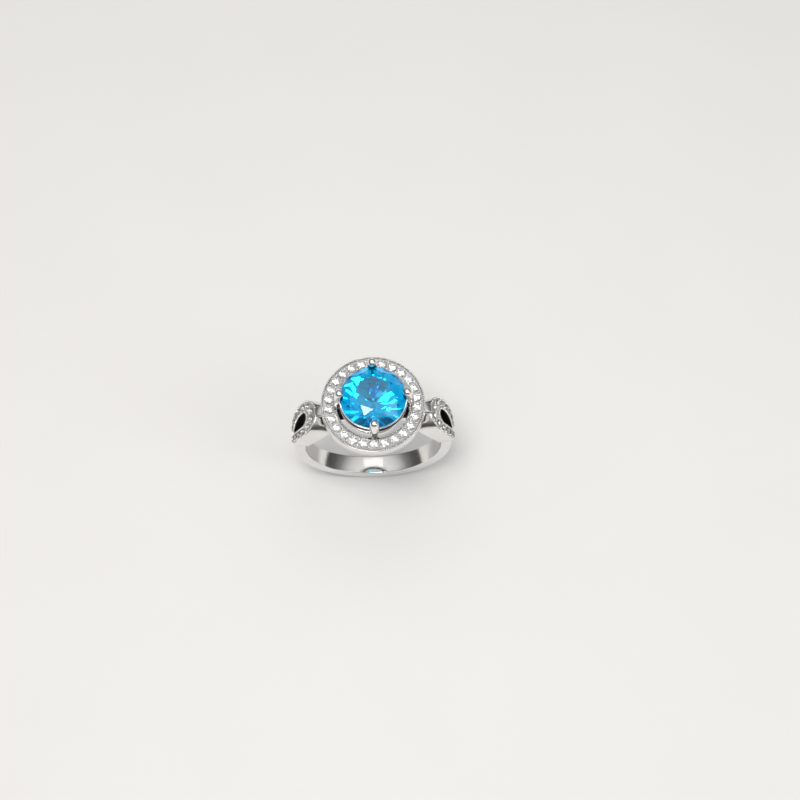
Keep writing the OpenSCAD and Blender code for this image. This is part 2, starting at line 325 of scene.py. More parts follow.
def turned(outline: bpy.types.Object, steps: int = 128) -> bpy.types.Object:
    """Spins a section round the Z axis into a closed ring.

    Args:
        outline: The section.
        steps: Steps in a full turn.

    Returns:
        The same piece, now a ring.
    """
    with editing(outline, "FACE"):
        bpy.ops.mesh.select_all(action="SELECT")
        bpy.ops.mesh.delete(type="ONLY_FACE")
    with editing(outline):
        bpy.ops.mesh.select_all(action="SELECT")
        bpy.ops.mesh.spin(steps=steps, angle=2 * math.pi, center=(0, 0, 0), axis=(0, 0, 1))
    close_up(outline)
    return outline


def rounded_ring(
    name: str, in_r: float, out_r: float, low: float, high: float, rounding: float, steps: int = 128
) -> bpy.types.Object:
    """A ring of rectangular section with four rounded corners.

    Args:
        name: The ring's name.
        in_r: Inner radius.
        out_r: Outer radius.
        low: Height of its underside.
        high: Height of its top.
        rounding: Radius of its corners.
        steps: Steps in a full turn.

    Returns:
        The ring.
    """
    corners = [(in_r, low), (out_r, low), (out_r, high), (in_r, high)]
    outline = section(name, corners)
    for corner in corners:
        round_corner(outline, corner, rounding)
    return turned(outline, steps)


# ---- Finishes ----


def feed(tree: bpy.types.NodeTree, target: bpy.types.NodeSocket, value: Feed) -> None:
    """Joins a socket to another one, or gives it a value.

    Args:
        tree: The node tree.
        target: The socket that is fed.
        value: The socket that feeds it, or its value.
    """
    if isinstance(value, bpy.types.NodeSocket):
        tree.links.new(value, target)
    else:
        target.default_value = value


def add_node(
    tree: bpy.types.NodeTree, kind: str, sockets: dict[str | int, Feed] | None = None, **settings: str
) -> bpy.types.Node:
    """Adds a shader node.

    Args:
        tree: The node tree.
        kind: The node's type, without "ShaderNode".
        sockets: What feeds each of its inputs.
        settings: Its own settings.

    Returns:
        The node.
    """
    node = tree.nodes.new(f"ShaderNode{kind}")
    for title, setting in settings.items():
        setattr(node, title, setting)
    for title, value in (sockets or {}).items():
        feed(tree, node.inputs[title], value)
    return node


def mixed(tree: bpy.types.NodeTree, share: Feed, plain: Feed, other: Feed) -> bpy.types.NodeSocket:
    """The mix of two colours by a share.

    Args:
        tree: The node tree.
        share: How much of the other colour is taken.
        plain: The first colour.
        other: The other colour.

    Returns:
        The socket that gives the mix.
    """
    node = add_node(tree, "Mix", data_type="RGBA")
    for title, value in (("Factor", share), ("A", plain), ("B", other)):
        feed(tree, node.inputs[title], value)
    return node.outputs["Result"]


def own_place(tree: bpy.types.NodeTree) -> bpy.types.NodeSocket:
    """The piece's own coordinates."""
    return add_node(tree, "TexCoord").outputs["Object"]


@dataclass(frozen=True)
class SurfaceEffect:
    """A shader node group that several finishes share, built once."""

    name: str
    inputs: tuple[tuple[str, str], ...]
    outputs: tuple[tuple[str, str], ...]
    build: Callable[[bpy.types.NodeTree, bpy.types.Node, bpy.types.Node], None]

    def group(self) -> bpy.types.NodeTree:
        """The group, made on first use.

        Returns:
            The node group.
        """
        if self.name in bpy.data.node_groups:
            return bpy.data.node_groups[self.name]
        tree = bpy.data.node_groups.new(self.name, "ShaderNodeTree")
        for title, kind in self.inputs:
            tree.interface.new_socket(title, in_out="INPUT", socket_type=kind)
        for title, kind in self.outputs:
            tree.interface.new_socket(title, in_out="OUTPUT", socket_type=kind)
        self.build(tree, tree.nodes.new("NodeGroupInput"), tree.nodes.new("NodeGroupOutput"))
        return tree

    def place(self, tree: bpy.types.NodeTree, **values: float | tuple[float, ...]) -> bpy.types.Node:
        """Puts the group in a material with its own values.

        Args:
            tree: The material's node tree.
            values: Input names, with spaces as underscores, and their values.

        Returns:
            The group node, reading the piece's own coordinates.
        """
        node = tree.nodes.new("ShaderNodeGroup")
        node.node_tree = self.group()
        for title, value in values.items():
            feed(tree, node.inputs[title.replace("_", " ")], value)
        feed(tree, node.inputs["Place"], own_place(tree))
        return node


def build_polish(tree: bpy.types.NodeTree, given: bpy.types.Node, out: bpy.types.Node) -> None:
    """Polished plating: a cloudy tone, buffing haze and fine hairlines.

    Args:
        tree: The group's tree.
        given: Its input node.
        out: Its output node.
    """
    place = given.outputs["Place"]
    cloud = add_node(tree, "TexNoise", {"Vector": place, "Scale": 420.0, "Detail": 4.0, "Roughness": 0.6})
    band = add_node(tree, "MapRange", {"Value": cloud.outputs["Fac"], "From Min": 0.35, "From Max": 0.7})
    factors = {0: band.outputs["Result"], 1: given.outputs["Wear"]}
    share = add_node(tree, "Math", factors, operation="MULTIPLY")
    tone = mixed(tree, share.outputs[0], given.outputs["Tone"], given.outputs["Worn Tone"])
    feed(tree, out.inputs["Colour"], tone)
    # Hairlines run round the ring, so the noise is squeezed along its axis
    squeeze = add_node(tree, "Mapping", {"Vector": place, "Scale": (1400.0, 9000.0, 1400.0)})
    lines = add_node(tree, "TexNoise", {"Vector": squeeze.outputs["Vector"], "Scale": 1.0, "Detail": 3.0})
    haze = add_node(
        tree,
        "MapRange",
        {
            "Value": lines.outputs["Fac"],
            "From Min": 0.3,
            "From Max": 0.75,
            "To Min": given.outputs["Smooth"],
            "To Max": given.outputs["Hazy"],
        },
    )
    feed(tree, out.inputs["Roughness"], haze.outputs["Result"])
    feed(tree, out.inputs["Height"], lines.outputs["Fac"])


def build_zoning_and_table_shade(tree: bpy.types.NodeTree, given: bpy.types.Node, out: bpy.types.Node) -> None:
    """Colour zoning inside a stone: soft lighter and deeper clouds, and a greyer table, which is painted
    shade.

    Args:
        tree: The group's tree.
        given: Its input node.
        out: Its output node.
    """
    place = given.outputs["Place"]
    zone = add_node(tree, "TexNoise", {"Vector": place, "Scale": given.outputs["Fineness"], "Detail": 2.0})
    band = add_node(tree, "MapRange", {"Value": zone.outputs["Fac"], "From Min": 0.35, "From Max": 0.65})
    tone = mixed(tree, band.outputs["Result"], given.outputs["Light Tone"], given.outputs["Deep Tone"])
    split = add_node(tree, "SeparateXYZ", {0: place})
    level = given.outputs["Table Level"]
    # Painted shade: above the table's level the stone takes the darker table colour
    table = add_node(tree, "Math", {0: split.outputs["Z"], 1: level}, operation="GREATER_THAN")
    whole = mixed(tree, table.outputs[0], tone, given.outputs["Table Tone"])
    feed(tree, out.inputs["Colour"], whole)


POLISH = SurfaceEffect(
    "polished_plating",
    (
        ("Place", "NodeSocketVector"),
        ("Tone", "NodeSocketColor"),
        ("Worn Tone", "NodeSocketColor"),
        ("Wear", "NodeSocketFloat"),
        ("Smooth", "NodeSocketFloat"),
        ("Hazy", "NodeSocketFloat"),
    ),
    (("Colour", "NodeSocketColor"), ("Roughness", "NodeSocketFloat"), ("Height", "NodeSocketFloat")),
    build_polish,
)
ZONING_AND_TABLE_SHADE = SurfaceEffect(
    "stone_zoning_and_table_shade",
    (
        ("Place", "NodeSocketVector"),
        ("Light Tone", "NodeSocketColor"),
        ("Deep Tone", "NodeSocketColor"),
        ("Fineness", "NodeSocketFloat"),
        ("Table Tone", "NodeSocketColor"),
        ("Table Level", "NodeSocketFloat"),
    ),
    (("Colour", "NodeSocketColor"),),
    build_zoning_and_table_shade,
)


def fresh_material(name: str) -> tuple[bpy.types.Material, bpy.types.Node]:
    """A material with only its main shader and its output.

    Args:
        name: The material's name.

    Returns:
        The material and its Principled shader.
    """
    material = bpy.data.materials.new(name)
    material.use_nodes = True
    tree = material.node_tree
    tree.nodes.clear()
    shader = add_node(tree, "BsdfPrincipled")
    add_node(tree, "OutputMaterial", {"Surface": shader.outputs["BSDF"]})
    return material, shader


@dataclass(frozen=True)
class PlatingFinish:
    """Polished white plating on the cast metal; its darker variants are painted shade."""

    name: str
    tone: Tone = (0.84, 0.835, 0.83)
    worn_tone: Tone = (0.74, 0.71, 0.68)
    wear: float = 0.35
    smooth: float = 0.06
    hazy: float = 0.2
    relief: float = 4 * MICRON
    relief_share: float = 0.35

    def material(self) -> bpy.types.Material:
        """The finish as a material, made on first use.

        Returns:
            The material.
        """
        if self.name in bpy.data.materials:
            return bpy.data.materials[self.name]
        material, shader = fresh_material(self.name)
        tree = material.node_tree
        shader.inputs["Metallic"].default_value = 1.0
        effect = POLISH.place(
            tree,
            Tone=(*self.tone, 1.0),
            Worn_Tone=(*self.worn_tone, 1.0),
            Wear=self.wear,
            Smooth=self.smooth,
            Hazy=self.hazy,
        )
        height = effect.outputs["Height"]
        bump = add_node(
            tree, "Bump", {"Strength": self.relief_share, "Distance": self.relief, "Height": height}
        )
        feed(tree, shader.inputs["Base Color"], effect.outputs["Colour"])
        feed(tree, shader.inputs["Roughness"], effect.outputs["Roughness"])
        feed(tree, shader.inputs["Normal"], bump.outputs["Normal"])
        return material


@dataclass(frozen=True)
class GemFinish:
    """A clear faceted stone."""

    name: str
    light_tone: Tone
    deep_tone: Tone
    index: float
    fineness: float = 500.0
    roughness: float = 0.0
    clear: float = 1.0
    # The table's colour above table_z is painted shade
    table_painted_shade: Tone = (1.0, 1.0, 1.0)
    table_z: float = 1.0
    # Painted light: the last two fields give the stone a faint glow of its own, though it is no lamp
    painted_glow_tone: Tone = (1.0, 1.0, 1.0)
    glow: float = 0.0

    def material(self) -> bpy.types.Material:
        """The finish as a material, made on first use.

        Returns:
            The material.
        """
        if self.name in bpy.data.materials:
            return bpy.data.materials[self.name]
        material, shader = fresh_material(self.name)
        tree = material.node_tree
        sockets = {
            "Metallic": 0.0,
            "Roughness": self.roughness,
            "IOR": self.index,
            "Transmission Weight": self.clear,
            "Emission Color": (*self.painted_glow_tone, 1.0),
            "Emission Strength": self.glow,
        }
        for title, value in sockets.items():
            feed(tree, shader.inputs[title], value)
        effect = ZONING_AND_TABLE_SHADE.place(
            tree,
            Light_Tone=(*self.light_tone, 1.0),
            Deep_Tone=(*self.deep_tone, 1.0),
            Fineness=self.fineness,
            Table_Tone=(*self.table_painted_shade, 1.0),
            Table_Level=self.table_z,
        )
        feed(tree, shader.inputs["Base Color"], effect.outputs["Colour"])
        return material


CAST_METAL = PlatingFinish("cast_white_metal")
BRIGHT_METAL = PlatingFinish(
    "bright_cut_metal", tone=(0.92, 0.915, 0.91), wear=0.15, smooth=0.08, hazy=0.16
)
# Painted shade: the same plated metal drawn near black on the tracks under the bead rows, and on the claws'
# lower fronts and under their tips
PAINTED_DEEP_SHADE_METAL = PlatingFinish(
    "painted_deep_shade",
    tone=(0.13, 0.127, 0.123),
    worn_tone=(0.04, 0.038, 0.036),
    wear=0.8,
    smooth=0.2,
    hazy=0.36,
)
# Painted shade: the same plated metal drawn mid grey on the setting faces between the small stones of the
# halo and the loops
PAINTED_HALF_SHADE_METAL = PlatingFinish(
    "painted_half_shade",
    tone=(0.56, 0.56, 0.56),
    worn_tone=(0.3, 0.29, 0.28),
    wear=0.7,
    smooth=0.18,
    hazy=0.34,
)
SHADED_METAL = PlatingFinish(
    "shaded_recess", tone=(0.1, 0.095, 0.09), worn_tone=(0.03, 0.028, 0.026), wear=0.8, smooth=0.3, hazy=0.5
)
BLUE_STONE = GemFinish(
    "azure_stone",
    (0.01, 0.58, 0.9),
    (0.0, 0.35, 0.82),
    1.62,
    # Painted shade: the table is drawn darker above table_z
    table_painted_shade=(0.0, 0.27, 0.5),
    table_z=13.165 * MM,
    # Painted light: a faint blue glow, though the stone is no lamp
    painted_glow_tone=(0.0, 0.42, 0.85),
    glow=0.05,
)
WHITE_STONE = GemFinish(
    "white_melee", (1.0, 1.0, 1.0), (0.95, 0.96, 0.98), 2.1, fineness=900.0, clear=0.94
)
# Painted shade: the shoulder's white stones are drawn greyer, as if shaded
PAINTED_SHADE_SHOULDER_STONE = GemFinish(
    "shoulder_melee_painted_shade", (0.85, 0.86, 0.84), (0.6, 0.61, 0.58), 2.1, fineness=900.0, clear=0.97
)


def paint_shade_on_faces(piece: bpy.types.Object, finish: PlatingFinish, test: Callable[..., bool]) -> None:
    """Gives some of a piece's faces a finish of their own, a darker tone that is painted shade.

    Args:
        piece: The piece.
        finish: The finish of those faces.
        test: Takes a face and says whether it has that finish.
    """
    if not piece.data.materials:
        piece.data.materials.append(CAST_METAL.material())
    piece.data.materials.append(finish.material())
    piece.active_material_index = len(piece.data.materials) - 1
    with editing(piece, "FACE"):
        pick(piece, "faces", test)
        bpy.ops.object.material_slot_assign()


def dress(
    piece: bpy.types.Object,
    finish: PlatingFinish | GemFinish,
    nodes: Sequence[str] = (),
    smooth_deg: float = 32.0,
) -> bpy.types.Object:
    """Gives a made piece its finish and its place on the frame.

    Args:
        piece: The piece.
        finish: Its finish.
        nodes: The frame nodes that it stands for.
        smooth_deg: Edges flatter than this are shaded smooth.

    Returns:
        The piece.
    """
    settle(piece)
    if not piece.data.materials:
        piece.data.materials.append(finish.material())
    piece.data.materials[0] = finish.material()
    bpy.ops.object.shade_smooth_by_angle(angle=math.radians(smooth_deg))
    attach(piece, "root")
    if nodes:
        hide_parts(*nodes)
    LOG.info("%s: %d faces", piece.name, len(piece.data.polygons))
    return piece


def dress_node(node: str, finish: GemFinish) -> None:
    """Gives a frame node that stays in view its finish.

    Args:
        node: The node's name.
        finish: Its finish.
    """
    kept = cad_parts[node]
    kept.data.materials.clear()
    kept.data.materials.append(finish.material())
    LOG.info("%s: kept from the frame", node)


# ---- What the sub-assemblies share ----


@dataclass(frozen=True)
class BandLine:
    """The band's inside and outside lines, seen along the finger."""

    bore_r: float = 8.25 * MM
    out_r: float = 9.75 * MM
    rise: float = 1.2 * MM
    width: float = 2.35 * MM
    dome: float = 0.3 * MM

    @property
    def dome_r(self) -> float:
        """Radius of the domed outside, across the band."""
        return (self.width**2 / 4 + self.dome**2) / (2 * self.dome)

    def fall(self, y: float) -> float:
        """How far the domed outside lies under its middle line, at a distance from that line."""
        return self.dome_r - math.sqrt(self.dome_r**2 - y**2)


@dataclass(frozen=True)
class BeadPunch:
    """Raises one round-topped bead and strikes copies of it."""

    diameter: float
    segments: int = 12
    rings: int = 8

    def strike(self, name: str, places: Sequence[Matrix]) -> bpy.types.Object:
        """A row of beads as one piece.

        Args:
            name: The row's name.
            places: Where each bead stands, its dome along the place's Z.

        Returns:
            The row.
        """
        bead = primitive(
            "uv_sphere",
            "bead_punch",
            segments=self.segments,
            ring_count=self.rings,
            radius=self.diameter / 2,
        )
        with editing(bead):
            bpy.ops.mesh.select_all(action="SELECT")
            bpy.ops.mesh.bisect(
                plane_co=(0, 0, 0), plane_no=(0, 0, -1), use_fill=True, clear_outer=True, threshold=MERGE
            )
        beads = []
        for place in places:
            twin = copied(bead, name)
            twin.matrix_world = place
            beads.append(twin)
        discard(bead)
        return joined(beads, name)


@dataclass(frozen=True)
class StoneSeat:
    """The tapered seat drilled for a small stone."""

    stone_d: float
    depth_share: float = 0.52
    floor_share: float = 0.22
    bearing_share: float = 0.02
    lift: float = 0.03 * MM
    sides: int = 32

    def drill(self, piece: bpy.types.Object, places: Sequence[Matrix]) -> None:
        """Drills a seat at each place.

        Args:
            piece: The piece that is drilled.
            places: The stones' places, their axes along Z.
        """
        low = -self.stone_d * self.depth_share + self.lift
        bearing = -self.stone_d * self.bearing_share + self.lift
        drill = primitive(
            "cone",
            "seat_cutter",
            vertices=self.sides,
            radius1=self.stone_d * self.floor_share,
            radius2=self.stone_d / 2,
            depth=bearing - low,
            location=(0, 0, (bearing + low) / 2),
        )
        with editing(drill, "FACE"):
            pick(drill, "faces", lambda f: f.normal.z > FACING)
            bpy.ops.mesh.extrude_region_move(TRANSFORM_OT_translate={"value": (0, 0, self.stone_d)})
        drills = []
        for place in places:
            twin = copied(drill, "seat_drill")
            twin.matrix_world = place
            drills.append(twin)
        discard(drill)
        combine(piece, joined(drills, "seat_drills"))


def band_ring(name: str, in_r: float, out_r: float, width: float, steps: int = 160) -> bpy.types.Object:
    """A plain ring round the finger, made from a bar end.

    Args:
        name: The ring's name.
        in_r: Inner radius.
        out_r: Outer radius.
        width: Width along the finger.
        steps: Sides of the ring.

    Returns:
        The ring, its faces outwards.
    """
    ring = primitive("cylinder", name, vertices=steps, radius=out_r, depth=width, rotation=UPRIGHT)
    with editing(ring, "FACE"):
        pick(ring, "faces", lambda f: abs(f.normal.y) > FACING)
        bpy.ops.mesh.inset(thickness=out_r - in_r)
        pick(ring, "faces", lambda f: abs(f.normal.y) > FACING and len(f.verts) == steps)
        bpy.ops.mesh.delete(type="FACE")
    with editing(ring, "EDGE"):
        pick(ring, "edges", lambda e: e.is_boundary)
        bpy.ops.mesh.bridge_edge_loops()
    close_up(ring)
    return ring


def trim(piece: bpy.types.Object, spot: Vector, normal: Vector, test: Callable[..., bool]) -> None:
    """Cuts off what lies past a plane, among the faces that a test picks, and closes the cut.

    Args:
        piece: The piece.
        spot: A point of the plane.
        normal: The plane's normal, towards the part that is cut off.
        test: Takes a face and says whether the cut reaches it.
    """
    with editing(piece, "FACE"):
        pick(piece, "faces", test)
        bpy.ops.mesh.bisect(
            plane_co=spot, plane_no=normal, use_fill=True, clear_outer=True, threshold=MERGE
        )


# ---- Shank ----


@dataclass
class Shank:
    """The plain band, from one shoulder round the bottom to the other."""

    line: BandLine
    plan: "LoopPlan"
    comfort: float = 0.14 * MM
    edge: float = 0.1 * MM
    strips: int = 9
    cut_z: float = 3 * MM
    plain_share: float = 0.999
    domed_share: float = 0.95

    def shape(self) -> bpy.types.Object:
        """Makes the band: domed outside, eased edges, cut square at the loops.

        Returns:
            The band.
        """
        line = self.line
        half = line.width / 2
        band = band_ring("plain_band", line.bore_r, line.out_r, line.width)
        with editing(band, "EDGE"):
            pick(band, "edges", lambda e: self.is_outer(e, self.plain_share) and self.runs_across(e))
            bpy.ops.mesh.subdivide(number_cuts=self.strips)
        with editing(band):
            for k in range(self.strips + 2):
                y = -half + line.width * k / (self.strips + 1)
                pick(band, "verts", lambda v, y=y: near(v.co.y, y) and self.is_outside(v.co))
                share = 1 - line.fall(y) / line.out_r
                bpy.ops.transform.resize(value=(share, 1, share), center_override=(0, 0, 0))
        with editing(band, "EDGE"):
            pick(band, "edges", lambda e: self.on_rim(e) and not self.is_outer(e, self.domed_share))
            bpy.ops.mesh.bevel(offset=self.comfort, segments=4)
            pick(band, "edges", lambda e: self.on_rim(e) and self.is_outer(e, self.domed_share))
            bpy.ops.mesh.bevel(offset=self.edge, segments=3)
        with editing(band):
            mid = (line.bore_r + line.out_r) / 2
            pick(band, "verts", lambda v: v.co.z > 10 * MICRON and math.hypot(v.co.x, v.co.z) > mid)
            bpy.ops.transform.translate(value=(0, 0, line.rise))
        trim(band, Vector((0, 0, self.cut_z)), Vector((0, 0, 1)), lambda f: True)
        for side in Side:
            spot = self.plan.world(side, self.plan.length / 2, 0, line.out_r)
            normal = self.plan.frame(side).to_3x3() @ Vector((-1, 0, 0))
            trim(band, spot, normal, lambda f, side=side: f.calc_center_median().x * side.value > 0)
        close_up(band)
        return band

    def is_outside(self, spot: Vector) -> bool:
        """Whether a point lies on the band's outside."""
        return math.hypot(spot.x, spot.z) > self.line.out_r - 2 * self.line.dome

    def is_outer(self, edge: bmesh.types.BMEdge, share: float) -> bool:
        """Whether both ends of an edge lie past a share of the outer radius."""
        return all(math.hypot(v.co.x, v.co.z) > self.line.out_r * share for v in edge.verts)

    def runs_across(self, edge: bmesh.types.BMEdge) -> bool:
        """Whether an edge runs along the finger."""
        return abs(edge.verts[0].co.y - edge.verts[1].co.y) > self.line.width / 2

    def on_rim(self, edge: bmesh.types.BMEdge) -> bool:
        """Whether an edge lies round one of the band's two sides.

        Args:
            edge: The edge.

        Returns:
            True if it does.
        """
        half = self.line.width / 2
        radii = [math.hypot(v.co.x, v.co.z) for v in edge.verts]
        return all(near(abs(v.co.y), half) for v in edge.verts) and near(radii[0], radii[1])

    def build(self) -> None:
        """Makes and dresses the band."""
        dress(self.shape(), CAST_METAL, ["shank"], smooth_deg=EASED_DEG)


# ---- Shoulder loops ----


@dataclass(frozen=True)
class LoopPlan:
    """A shoulder loop's plan, drawn on the plane that faces the loop's middle.

    Distances run down the band along X and across it along Y, from the loop's middle.
    """

    line: BandLine
    start_x: float
    length: float = 7.45 * MM
    round_r: float = 2.25 * MM
    straight: float = 0.55 * MM
    ribbon: float = 1.4 * MM
    shift: float = 0.45 * MM
    stone_d: float = 0.88 * MM
    stone_gap: float = 0.1 * MM
    bead_d: float = 0.22 * MM
    bead_pitch: float = 0.255 * MM
    bead_edge: float = 0.13 * MM
    grain_d: float = 0.24 * MM
    ease_from: float = 1.7 * MM

    @property
    def turn(self) -> float:
        """Angle from the head down to the loop's middle."""
        return math.asin(self.start_x / self.line.out_r) + math.asin(self.length / 2 / self.line.out_r)

    @property
    def round_x(self) -> float:
        """Centre of the round end."""
        return self.round_r - self.length / 2

    @property
    def opening_r(self) -> float:
        """Radius of the opening's round end."""
        return self.round_r - self.ribbon

    @property
    def flank_c(self) -> float:
        """Offset of the flanks' centre of curvature.

        Returns:
            The offset, across the loop.
        """
        run = self.length - self.round_r - self.straight
        half = self.line.width / 2
        return (run**2 + half**2 - self.round_r**2) / (2 * self.round_r - self.line.width)

    @property
    def row_r(self) -> float:
        """Radius of the stones' row round the loop's round end."""
        return self.round_r - 2 * self.bead_edge - self.stone_d / 2

    @property
    def row_shift(self) -> float:
        """How far the stones' row is set towards the narrow end."""
        return self.shift * (self.round_r - self.row_r) / self.ribbon

    def frame(self, side: Side) -> Matrix:
        """The loop's plane in the ring's frame.

        Args:
            side: The shoulder.

        Returns:
            A matrix with Z outwards; on the left it is the right one mirrored across the ring.
        """
        matrix = Matrix.Translation((0, 0, self.line.rise)) @ Matrix.Rotation(self.turn, 4, "Y")
        mirror = Matrix.Diagonal((side.value, 1, 1, 1))
        return mirror @ matrix

    def world(self, side: Side, x: float, y: float, height: float) -> Vector:
        """A point of the plan at a height over its plane, in the ring's frame."""
        return self.frame(side) @ Vector((x, y, height))

    def reach(self, shift: float, r: float, half_w: float) -> tuple[float, float, float]:
        """Lengths of the arc, of the arc and straight, and of half the outline.

        Args:
            shift: How far the round end is set towards the narrow end.
            r: Radius of the round end.
            half_w: Half width at the narrow end.

        Returns:
            The three lengths.
        """
        first = r * math.pi / 2
        second = first + self.straight - shift
        flank = (self.flank_c + r) * math.acos((self.flank_c + half_w) / (self.flank_c + r))
        return first, second, second + flank

    def spot(self, shift: float, r: float, half_w: float, share: float) -> Flat:
        """A point on half of an outline.

        Args:
            shift: How far the outline's round end is set towards the narrow end.
            r: Radius of its round end.
            half_w: Its half width at its narrow end.
            share: 0 at the round end to 1 at the narrow end.

        Returns:
            The point on the plan.
        """
        first, second, whole = self.reach(shift, r, half_w)
        run = share * whole
        if run < first:
            angle = run / r
            return self.round_x + shift - r * math.cos(angle), r * math.sin(angle)
        if run < second:
            return self.round_x + shift + run - first, r
        angle = (run - second) / (self.flank_c + r)
        bend = self.flank_c + r
        return self.round_x + self.straight + bend * math.sin(angle), bend * math.cos(angle) - self.flank_c

    def row(self, shift: float, r: float, half_w: float, pitch: float) -> list[Flat]:
        """Evenly spaced places down both halves of an outline.

        Args:
            shift: How far the round end is set towards the narrow end.
            r: Radius of the round end.
            half_w: Half width at the narrow end.
            pitch: The least distance between places.

        Returns:
            The places on the plan.
        """
        count = int(self.reach(shift, r, half_w)[2] / pitch)
        half = [self.spot(shift, r, half_w, (i + 0.5) / count) for i in range(count)]
        return [(x, y * way) for x, y in half for way in (1, -1)]

    def top(self, x: float, y: float) -> float:
        """Height of the band's outside over the plan, eased into the shank's dome.

        Args:
            x: Distance down the band from the loop's middle.
            y: Distance across it.

        Returns:
            The height.
        """
        r, turn = self.line.out_r, self.turn
        level = math.sqrt(r * r - x * x)
        if x * math.sin(turn) > level * math.cos(turn):
            level = (r - x * math.cos(turn)) / math.sin(turn)
        t = min(1.0, max(0.0, (x - self.length / 2 + self.ease_from) / self.ease_from))
        ease = t * t * (3 - 2 * t)
        return level - ease * self.line.fall(min(abs(y), self.line.width / 2)) / math.sin(turn)

    def floor(self, x: float) -> float:
        """Height of the finger hole over the plan.

        Args:
            x: Distance down the band from the loop's middle.

        Returns:
            The height.
        """
        lift = self.line.rise
        across = x - lift * math.sin(self.turn)
        return math.sqrt(self.line.bore_r**2 - across**2) - lift * math.cos(self.turn)

    def place(self, side: Side, spot: Flat) -> Matrix:
        """Stands a piece on the loop's face.

        Args:
            side: The shoulder.
            spot: The place on the plan.

        Returns:
            The piece's matrix, Z outwards.
        """
        x, y = spot
        step = 0.02 * MM
        lean = math.atan2(self.top(x - step, y) - self.top(x + step, y), 2 * step)
        local = Matrix.Translation((x, y, self.top(x, y))) @ Matrix.Rotation(lean, 4, "Y")
        whole = self.frame(side) @ local
        if side is Side.LEFT:
            whole = whole @ Matrix.Diagonal((-1, 1, 1, 1))
        return whole

    def stones(self, side: Side) -> list[Matrix]:
        """Places of the loop's stones.

        Args:
            side: The shoulder.

        Returns:
            The stones' matrices.
        """
        end = (self.stone_d + self.stone_gap) / 2
        row = self.row(self.row_shift, self.row_r, end, self.stone_d + self.stone_gap)
        return [self.place(side, spot) for spot in row]

    def grains(self, side: Side) -> list[Matrix]:
        """Places of the grains that hold the stones, in the corners between them.

        Args:
            side: The shoulder.

        Returns:
            The grains' matrices.
        """
        end = (self.stone_d + self.stone_gap) / 2
        count = int(self.reach(self.row_shift, self.row_r, end)[2] / (self.stone_d + self.stone_gap))
        places = []
        for k in range(1, count):
            for way in (1, -1):
                r = self.row_r + way * (self.stone_d - self.grain_d) / 2
                x, y = self.spot(self.row_shift, r, end, k / count)
                places += [self.place(side, (x, y * half)) for half in (1, -1)]
        return places

    def milgrain(self, side: Side, outer: bool) -> list[Matrix]:
        """Places of a row of beads along the loop's outer or inner edge.

        Args:
            side: The shoulder.
            outer: True for the outer edge, False for the inner one.

        Returns:
            The beads' matrices.
        """
        if outer:
            half = self.line.width / 2 - self.bead_edge
            row = self.row(0, self.round_r - self.bead_edge, half, self.bead_pitch)
        else:
            r = self.opening_r + self.bead_edge
            row = self.row(self.shift, r, self.bead_pitch / 2, self.bead_pitch)
        return [self.place(side, spot) for spot in row]


class Column(IntEnum):
    """Points of a ribbon's section, counted round it from its outer foot."""

    OUTER_BROW = 5
    OUTER_TRACK = 6
    INNER_TRACK = 10
    INNER_BROW = 11
    WALL_TOP = 14
    WALL_LOW = 16


